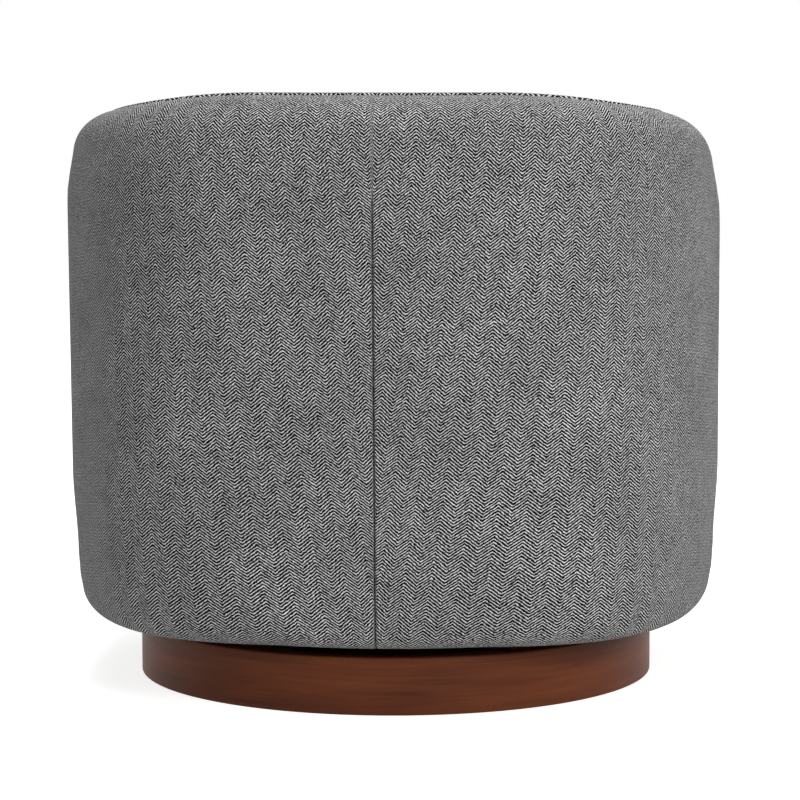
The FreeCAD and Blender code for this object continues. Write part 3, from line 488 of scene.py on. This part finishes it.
def insideProfile(angle):
    # From the crest seam over the rim and down the face, which thickens towards the seat
    top = rimHeight(angle)
    brow = top - tub["rimRound"]
    low = tub["deckTop"] + inside["deckGap"]
    extra = extraPadding(angle)
    crest = halfWall + inside["crestGap"] + 0 * angle
    rows = [(crest, top - inside["tuck"])]
    for t in np.linspace(1, 0, inside["rimRows"]):
        across, up = twoArcs(tub["wall"] - crest, tub["rimRound"], tub["rimCrown"], 0 * angle + t)
        rows.append((tub["wall"] - across, brow + up))
    for t in np.linspace(0, 1, inside["faceRows"])[1:]:
        rows.append((tub["wall"] + extra * (t + inside["belly"] * t * (1 - t)), brow + (low - brow) * t))
    return np.array([row[0] for row in rows]), np.array([row[1] for row in rows])


def makeInsidePad(name, first, last, columns, replaced):
    # The face swells between its edges and is pulled in along the seams at both ends
    angles = np.linspace(first, last, columns)
    inward, height = insideProfile(angles)
    share = np.linspace(0, 1, columns)[None, :]
    down = np.linspace(0, 1, len(inward))[:, None]
    fromSeam = np.minimum(share, 1 - share) * np.radians(last - first) * inside["faceRadius"]
    swell = inside["swell"] * np.sin(np.pi * share) * np.sin(np.pi * down) ** inside["swellPower"]
    pull = (inside["seamPull"] * np.exp(-(fromSeam / inside["seamWidth"]) ** 2)
            * np.sin(np.pi * down) ** inside["pullPower"])
    points = wallPoint(angles[None, :] + 0 * height, inward + swell - pull, height)
    along, up = clothLengths(points)
    middle = points.shape[0] // 2
    u = np.repeat(along[middle:middle + 1] - along[middle, -1] / 2, points.shape[0], axis=0)
    piece = newPiece(name, points, gridFaces(*points.shape[:2])[:, ::-1], np.stack([u, -up], axis=-1))
    giveThickness(piece, inside["thickness"])
    dress(piece, tweed, "chair", [replaced])


seamAngle, armAngle = inside["seamAngle"], tub["armAngle"]
makeInsidePad("inside_back", -seamAngle, seamAngle, inside["backColumns"], "inside_pad")
makeInsidePad("inside_arm_left", seamAngle, armAngle, inside["armColumns"], "arm_pad_left")
makeInsidePad("inside_arm_right", -armAngle, -seamAngle, inside["armColumns"], "arm_pad_right")
print("inside pads made")


# Front apron

apron = {
    "recess": 0.009, "behind": 0.008, "lip": 0.02, "roundDepth": 0.030, "roundRows": 12, "faceRows": 24,
    "edge": 0.006, "edgeRows": 6, "wrap": 0.030, "underDeck": 0.0005, "thickness": 0.002,
    "columns": 90, "crowding": 1.25,      # columns stand closer together towards the arms
    "armGap": 0.0004, "joinDip": 0.003, "joinWidth": 0.006, "swell": 0.0015,
}


def apronProfile():
    # Reach forward and height from under the hem, round it, up the face and over the top
    reach = tub["frontReach"] - apron["recess"]
    behind = tub["recess"] + apron["behind"]
    across, down = twoArcs(apron["roundDepth"], tub["hemRound"], apron["roundDepth"] - tub["hemSharper"],
                           np.linspace(1, 0, apron["roundRows"]))
    top = tub["deckTop"] - apron["underDeck"]
    face = np.linspace(hemFoot, top - apron["edge"], apron["faceRows"])[1:]
    turn = np.linspace(0, np.pi / 2, apron["edgeRows"])[1:]
    out = np.concatenate([[behind, behind], reach - across, reach + 0 * face,
                          reach - apron["edge"] * (1 - np.cos(turn)), [reach - apron["wrap"]]])
    z = np.concatenate([[tub["hemHeight"] + apron["lip"], tub["hemHeight"]], hemFoot - down, face,
                        top - apron["edge"] * (1 - np.sin(turn)), [top]])
    return out, z


def makeApron():
    out, z = apronProfile()
    y = leanSlope * (z - hemFoot) - out
    # Each row ends where it meets the round front of the arm, at a small gap
    centre = wallPoint(np.full(len(z), tub["armAngle"]), halfWall, z)
    ahead = np.minimum(y - centre[:, 1], 0)
    gap = halfWall + apron["armGap"]
    endX = centre[:, 0] - np.sqrt(np.maximum(gap ** 2 - ahead ** 2, 0))
    share = np.linspace(-1, 1, apron["columns"])
    share = np.sign(share) * (1 - (1 - np.abs(share)) ** apron["crowding"])
    x = endX[:, None] * share[None, :]
    # The cloth dips into the join with the arm and swells a little between
    fromEnd = endX[:, None] * (1 - np.abs(share))[None, :]
    dip = apron["joinDip"] * np.exp(-(fromEnd / apron["joinWidth"]) ** 2)
    shift = dip - apron["swell"] * (1 - share[None, :] ** 2)
    points = np.stack([x, y[:, None] + shift, z[:, None] + 0 * x], axis=-1)
    up = clothLengths(points)[1]
    piece = newPiece("front_panel", points, gridFaces(*points.shape[:2]), np.stack([x, up], axis=-1))
    giveThickness(piece, apron["thickness"])
    dress(piece, tweed, "chair", ["front_apron"])


makeApron()
print("front panel made")


# Loose seat cushion

cushion = {
    "height": 0.150, "crown": 0.010, "clearance": 0.003, "corner": 0.046, "bow": 0.009, "pastArm": 0.018,
    "smaller": 0.004,      # the pad swells, so it starts from a smaller shape
    "sideColumns": 60, "cornerColumns": 12, "frontColumns": 24, "margin": 0.001, "deckGap": 0.0008,
    # Rings of the side, as inset and share of the height
    "sideRings": ((0.012, 0.0), (0.004, 0.05), (0.0, 0.16), (0.0, 0.5), (0.0, 0.84), (0.004, 0.95),
                  (0.012, 1.0)),
    # Rings of the top, as share of the edge ring and share of the crown
    "topRings": ((0.86, 0.5), (0.66, 0.85), (0.4, 1.0), (0.15, 1.05)),
    "voxel": 0.006, "pressure": 4.0, "frames": 20, "cap": 0.016,
    "seamCap": 0.002, "seamHold": 0.050,      # the seams hold the swelling back within this distance
    # The welts lie sunk in the swollen cover, which tucks in beside them
    "weltRadius": 0.0038, "weltDown": 0.010, "weltPoints": 640, "weltSides": 8, "weltBias": 0.7,
    "weltSink": 0.0005, "tuck": 0.0030, "tuckReach": 0.0075,
    # Where the welt looks for the swollen cover round the seam
    "bandHeight": 0.009, "bandLength": 0.007, "bandDepth": 0.03, "leastReach": -0.004, "smoothing": 30,
}
searchBlocks = 60      # how many blocks a search for nearest points is worked in


def cushionOutline(inset, z):
    # Round the inside pads at a clearance, forward between the arms, then a bowed front
    angles = np.linspace(0, tub["armAngle"], cushion["sideColumns"])
    inward = tub["wall"] + extraPadding(angles) + cushion["clearance"] + inset
    side = wallPoint(angles, inward, z + 0 * angles)
    nx, ny = outlineNormal(np.array([tub["armAngle"]]))
    forward = np.array([ny[0], -nx[0], 0])
    armEnd = side[-1] + forward * cushion["pastArm"]

    def frontY(across):
        return leanSlope * (z - hemFoot) - tub["frontReach"] + cushion["bow"] * across ** 2 + inset

    front = np.array([armEnd[0] - cushion["corner"], frontY(1.0), z])
    knee = armEnd + forward * cushion["corner"]
    t = np.linspace(0, 1, cushion["cornerColumns"])[:-1, None]
    bend = armEnd * (1 - t) ** 2 + knee * (2 * t * (1 - t)) + front * t ** 2
    x = np.linspace(front[0], 0, cushion["frontColumns"])
    straight = np.stack([x, frontY(x / front[0]), z + 0 * x], axis=-1)
    left = np.concatenate([side, bend, straight])
    left[:, 2] = z
    right = left[-2:0:-1] * np.array([-1, 1, 1])
    return np.concatenate([left, right])


def newPad(name):
    # Closed form: rings up the side and over the crown, with a point in the middle of each end
    low, size, margin = tub["deckTop"], cushion["height"], cushion["margin"]
    rings = [cushionOutline(cushion["smaller"] + inset, low + margin + share * (size - 2 * margin))
             for inset, share in cushion["sideRings"]]
    middle, edge = rings[0].mean(axis=0), rings[-1]
    for scale, share in cushion["topRings"]:
        flat = middle + (edge - edge.mean(axis=0)) * scale
        flat[:, 2] = low + size + share * cushion["crown"]
        rings.append(flat)
    points = np.array(rings)
    count = points.shape[1]
    everything = np.vstack([points.reshape(-1, 3), points[-1].mean(axis=0), points[0].mean(axis=0)])
    top, bottom = len(everything) - 2, len(everything) - 1
    step = np.arange(count)
    after = (step + 1) % count
    lastRow = (len(rings) - 1) * count
    caps = ([[lastRow + i, lastRow + j, top] for i, j in zip(step, after)]
            + [[j, i, bottom] for i, j in zip(step, after)])
    piece = newPiece(name, everything, gridFaces(len(rings), count, closed=True), caps=caps)
    weldAndOrient(piece)
    return piece


def evenly(path, count):
    # A closed path with its points spaced evenly along its length
    ring = np.vstack([path, path[:1]])
    length = np.concatenate([[0], np.cumsum(np.linalg.norm(np.diff(ring, axis=0), axis=1))])
    spots = np.linspace(0, length[-1], count, endpoint=False)
    return np.stack([np.interp(spots, length, ring[:, k]) for k in range(3)], axis=-1)


def nearest(points, path):
    # Distance to the nearest point of a path, and its number, worked in blocks to spare memory
    gaps, numbers = [], []
    for block in np.array_split(points, searchBlocks):
        away = np.linalg.norm(block[:, None] - path[None], axis=-1)
        gaps.append(away.min(axis=1))
        numbers.append(away.argmin(axis=1))
    return np.concatenate(gaps), np.concatenate(numbers)


def alongAndOut(path):
    # Unit vectors along a level closed path that runs clockwise from above, and square to it outwards
    ahead = np.roll(path, -1, axis=0) - np.roll(path, 1, axis=0)
    ahead /= np.linalg.norm(ahead, axis=1, keepdims=True)
    return ahead, np.stack([-ahead[:, 1], ahead[:, 0], 0 * ahead[:, 0]], axis=-1)


def simulatePad(piece, seams):
    # Remesh, blow up with cloth pressure and no gravity, then limit the travel, most near the seams
    body = piece.modifiers.new("remesh", "REMESH")
    body.mode, body.voxel_size = "VOXEL", cushion["voxel"]
    applyModifiers(piece)
    before = readPoints(piece)
    pad = piece.modifiers.new("cloth", "CLOTH")
    pad.settings.use_pressure = True
    pad.settings.uniform_pressure_force = cushion["pressure"]
    pad.settings.effector_weights.gravity = 0
    for number in range(1, cushion["frames"] + 1):
        bpy.context.scene.frame_set(number)
    applyModifiers(piece)
    bpy.context.scene.frame_set(1)
    travel = readPoints(piece) - before
    length = np.linalg.norm(travel, axis=1, keepdims=True)
    fromSeam = nearest(before, np.vstack(seams))[0]
    free = smoothStep(fromSeam / cushion["seamHold"])[:, None]
    allowed = cushion["seamCap"] + (cushion["cap"] - cushion["seamCap"]) * free
    writePoints(piece, before + travel * np.minimum(1, allowed / np.maximum(length, leastLength)))


def restOnDeck(piece):
    # The underside is flat, just above the deck
    points = readPoints(piece)
    points[:, 2] = np.maximum(points[:, 2], tub["deckTop"] + cushion["deckGap"])
    writePoints(piece, points)


def weltPath(points, seam):
    # The seam moved out to the swollen cover: the furthest point beside each of its own, smoothed
    ahead, out = alongAndOut(seam)
    band = points[np.abs(points[:, 2] - seam[0, 2]) < cushion["bandHeight"]]
    along = band @ ahead.T - np.sum(seam * ahead, axis=1)
    outward = band @ out.T - np.sum(seam * out, axis=1)
    beside = (np.abs(along) < cushion["bandLength"]) & (np.abs(outward) < cushion["bandDepth"])
    reach = np.where(beside, outward, cushion["leastReach"]).max(axis=0)
    for _ in range(cushion["smoothing"]):
        reach = (np.roll(reach, 1) + 2 * reach + np.roll(reach, -1)) / 4
    return seam + out * (reach - cushion["weltSink"])[:, None]


def tuckIn(piece, path):
    # The cover dips in beside the welts, by a bell curve of the distance to them
    normals = np.empty(len(piece.data.vertices) * 3)
    piece.data.vertices.foreach_get("normal", normals)
    points = readPoints(piece)
    dip = cushion["tuck"] * np.exp(-(nearest(points, path)[0] / cushion["tuckReach"]) ** 2)
    writePoints(piece, points - normals.reshape(-1, 3) * dip[:, None])


def cushionCloth(piece, seams):
    # Top and bottom panels take x and y; the boxing takes the length round the seam and the height
    mesh = piece.data
    corners = np.empty(len(mesh.loops), int)
    mesh.loops.foreach_get("vertex_index", corners)
    owner = np.repeat(np.arange(len(mesh.polygons)), [p.loop_total for p in mesh.polygons])
    centres = np.empty(len(mesh.polygons) * 3)
    mesh.polygons.foreach_get("center", centres)
    height = centres.reshape(-1, 3)[:, 2][owner]
    low, high = seams[0][0, 2], seams[1][0, 2]
    level = (height > high) | (height < low)
    points = readPoints(piece)
    flat = points * np.array([1.0, 1.0, 0.0]) + np.array([0.0, 0.0, low])
    number = nearest(flat, seams[0])[1]
    ahead = alongAndOut(seams[0])[0]
    step = np.linalg.norm(seams[0][1] - seams[0][0])
    length = number * step + np.sum((flat - seams[0][number]) * ahead[number], axis=1)
    across = np.where(level, points[corners, 0], length[corners])
    up = np.where(level, points[corners, 1], points[corners, 2])
    layer = mesh.uv_layers.new(name="cloth")
    layer.data.foreach_set("uv", np.stack([across, up], axis=-1).astype(np.float32).ravel())


def tubeAlong(name, path, radius, sides, bias):
    # Closed tube of rings square to the path. Its cloth is cut on the bias, so both of its lengths
    # grow along the path
    ahead = alongAndOut(path)[0]
    up = np.array([0.0, 0.0, 1.0]) - ahead * ahead[:, 2:3]
    up /= np.linalg.norm(up, axis=1, keepdims=True)
    out = np.cross(ahead, up)
    turn = np.linspace(0, 2 * np.pi, sides, endpoint=False)
    rings = path[:, None] + radius * (out[:, None] * np.cos(turn)[None, :, None]
                                      + up[:, None] * np.sin(turn)[None, :, None])
    count = len(path)
    r, c = np.meshgrid(np.arange(count), np.arange(sides), indexing="ij")
    s, d = (r + 1) % count, (c + 1) % sides
    faces = np.stack([r * sides + c, s * sides + c, s * sides + d, r * sides + d], axis=-1).reshape(-1, 4)
    length = np.concatenate([[0], np.cumsum(np.linalg.norm(np.diff(path, axis=0), axis=1))])
    uv = np.stack([np.repeat(length[:, None], sides, axis=1) * bias,
                   np.repeat(turn[None] * radius, count, axis=0) + length[:, None] * bias], axis=-1)
    return newPiece(name, rings, faces, uv)


def makeCushion():
    low, size = tub["deckTop"], cushion["height"]
    piece = newPad("seat_cushion_cover")
    heights = (low + cushion["weltDown"], low + size - cushion["weltDown"])
    seams = [evenly(cushionOutline(cushion["smaller"], z), cushion["weltPoints"]) for z in heights]
    simulatePad(piece, seams)
    restOnDeck(piece)
    welts = [weltPath(readPoints(piece), seam) for seam in seams]
    tuckIn(piece, np.vstack(welts))
    cushionCloth(piece, seams)
    piece.data.polygons.foreach_set("use_smooth", np.full(len(piece.data.polygons), True))
    finer = piece.modifiers.new("finer", "SUBSURF")
    finer.levels = finer.render_levels = 1
    dress(piece, tweed, "cushion", ["seat_cushion"])
    for name, path in zip(("cushion_welt_bottom", "cushion_welt_top"), welts):
        welt = tubeAlong(name, path, cushion["weltRadius"], cushion["weltSides"], cushion["weltBias"])
        dress(welt, tweed, "cushion")


makeCushion()
print("seat cushion made")


# Plinth

plinth = {
    "radius": 0.306, "wall": 0.018, "bottom": 0.0001, "top": 0.067, "bottomEase": 0.002, "topEase": 0.0025,
    "easeRows": 6, "faceRows": 8, "segments": 256, "sharpFrom": 40,
}


def makePlinth():
    # Section of the band carried round a circle: square inside, eased edges outside. The last row
    # joins the first
    size = plinth
    outer, inner = size["radius"], size["radius"] - size["wall"]
    low, high = size["bottom"] + size["bottomEase"], size["top"] - size["topEase"]
    lowTurn = np.linspace(-np.pi / 2, 0, size["easeRows"])
    highTurn = np.linspace(0, np.pi / 2, size["easeRows"])
    face = np.linspace(low, high, size["faceRows"])[1:-1]
    r = np.concatenate([[inner], outer - size["bottomEase"] * (1 - np.cos(lowTurn)), outer + 0 * face,
                        outer - size["topEase"] * (1 - np.cos(highTurn)), [inner]])
    z = np.concatenate([[size["bottom"]], low + size["bottomEase"] * np.sin(lowTurn), face,
                        high + size["topEase"] * np.sin(highTurn), [size["top"]]])
    turn = np.linspace(-np.pi, np.pi, size["segments"] + 1)
    points = np.stack([r[:, None] * np.sin(turn), r[:, None] * np.cos(turn), z[:, None] + 0 * turn],
                      axis=-1)
    faces = gridFaces(len(r) + 1, len(turn)) % (len(r) * len(turn))
    uv = np.stack([np.repeat(turn[None] * outer, len(r), axis=0),
                   np.repeat(z[:, None], len(turn), axis=1)], axis=-1)
    piece = newPiece("plinth_band", points, faces, uv)
    weldAndOrient(piece)
    piece.data.set_sharp_from_angle(angle=math.radians(size["sharpFrom"]))
    dress(piece, walnut, "base", ["plinth_ring"])


makePlinth()
print("plinth made")


# The construction's own nodes keep their shape and get their finishes

slotOf = {part["node"]: part["material_slot"] for part in frame["record"]["subparts"]}
for name, node in frame["nodes"].items():
    node.data.materials.clear()
    node.data.materials.append(finishes[slotOf[name]])
print("construction dressed:", len(frame["nodes"]))


# Floor, light and camera

studio = {
    "floor": 12.0, "floorColour": "#dededd", "floorGlow": 0.8, "skyLight": 0.17,
    "distance": 4.5, "azimuth": 0.068, "height": 0.866, "roll": -0.0025, "sensor": 36.0, "clip": (0.1, 50.0),
    # In pixels of the picture: the lens, the row of the plinth's near bottom edge, the column of its axis
    "imageSize": 800.0, "focal": 3779.0, "plinthEdge": 716.0, "axisColumn": 395.3,
}
lamps = {
    "key": {"place": (-2.6, 3.5, 2.3), "aim": (0, 0, 0.35), "size": 1.4, "power": 82},
    "fill": {"place": (1.4, 3.8, 1.6), "aim": (0, 0, 0.35), "size": 2.0, "power": 6},
    "top": {"place": (0, 0.2, 3.4), "aim": (0, 0, 0.3), "size": 2.0, "power": 50},
    "front": {"place": (0, -3.6, 2.2), "aim": (0, 0, 0.4), "size": 1.8, "power": 56},
}


def seenBy(tree, *rays):
    # 1 for the named kinds of ray and 0 for the others
    path = addNode(tree, "LightPath")
    seen = path.outputs[f"Is {rays[0]} Ray"]
    for ray in rays[1:]:
        seen = maths(tree, "MAXIMUM", seen, path.outputs[f"Is {ray} Ray"])
    return seen


def makeFloor():
    # White to the camera wherever the floor is fully lit, its shadow kept
    half = studio["floor"] / 2
    points = np.array([[-half, -half, 0], [half, -half, 0], [half, half, 0], [-half, half, 0]], float)
    floor = newPiece("floor", points, np.array([[0, 1, 2, 3]]), smooth=False)
    material, tree, shader = newMaterial("floor_painted_white", {
        "Roughness": 0.9, "Base Color": linearColour(studio["floorColour"])})
    floor.data.materials.append(material)
    glow = addNode(tree, "Emission", {"Color": (1, 1, 1, 1), "Strength": studio["floorGlow"]})
    both = addNode(tree, "AddShader", {0: shader.outputs[0], 1: glow.outputs[0]})
    mix = addNode(tree, "MixShader", {0: seenBy(tree, "Camera", "Glossy"), 1: shader.outputs[0],
                                      2: both.outputs[0]})
    tree.links.new(mix.outputs[0], tree.nodes["Material Output"].inputs["Surface"])


def makeWorld():
    # White where it is seen, dim as a light
    world = bpy.data.worlds.new("studio")
    world.use_nodes = True
    bpy.context.scene.world = world
    tree = world.node_tree
    seen = seenBy(tree, "Camera", "Glossy", "Transmission")
    strength = addNode(tree, "Mix", {"Factor": seen, 2: studio["skyLight"], 3: 1.0}, data_type="FLOAT")
    back = tree.nodes["Background"]
    back.inputs["Color"].default_value = (1, 1, 1, 1)
    tree.links.new(strength.outputs[0], back.inputs["Strength"])


def addLamp(name, place, aim, size, power):
    lamp = bpy.data.lights.new(name, "AREA")
    lamp.shape, lamp.size, lamp.energy = "SQUARE", size, power
    thing = bpy.data.objects.new(name, lamp)
    thing.location = place
    thing.rotation_euler = (Vector(aim) - Vector(place)).to_track_quat("-Z", "Y").to_euler()
    bpy.context.scene.collection.objects.link(thing)


def makeCamera():
    # Long lens from behind; the pitch puts the plinth's near bottom edge on its row of the picture
    turn, away, size = studio["azimuth"], studio["distance"], studio["imageSize"]
    place = Vector((-away * math.sin(turn), away * math.cos(turn), studio["height"]))
    edge = math.atan((studio["height"] - plinth["bottom"]) / (away - plinth["radius"]))
    pitch = edge - math.atan((studio["plinthEdge"] - size / 2) / studio["focal"])
    aim = Vector((math.sin(turn) * math.cos(pitch), -math.cos(turn) * math.cos(pitch), -math.sin(pitch)))
    data = bpy.data.cameras.new("camera")
    data.sensor_width = studio["sensor"]
    data.lens = studio["focal"] / size * data.sensor_width
    data.shift_x = (size / 2 - studio["axisColumn"]) / size
    data.clip_start, data.clip_end = studio["clip"]
    camera = bpy.data.objects.new("camera", data)
    camera.location = place
    camera.rotation_euler = (aim.to_track_quat("-Z", "Y").to_matrix()
                             @ Matrix.Rotation(studio["roll"], 3, "Z")).to_euler()
    bpy.context.scene.collection.objects.link(camera)
    bpy.context.scene.camera = camera


makeFloor()
makeWorld()
for name, lamp in lamps.items():
    addLamp(name, **lamp)
makeCamera()
bpy.context.scene.view_settings.view_transform = "Standard"
print("studio made")
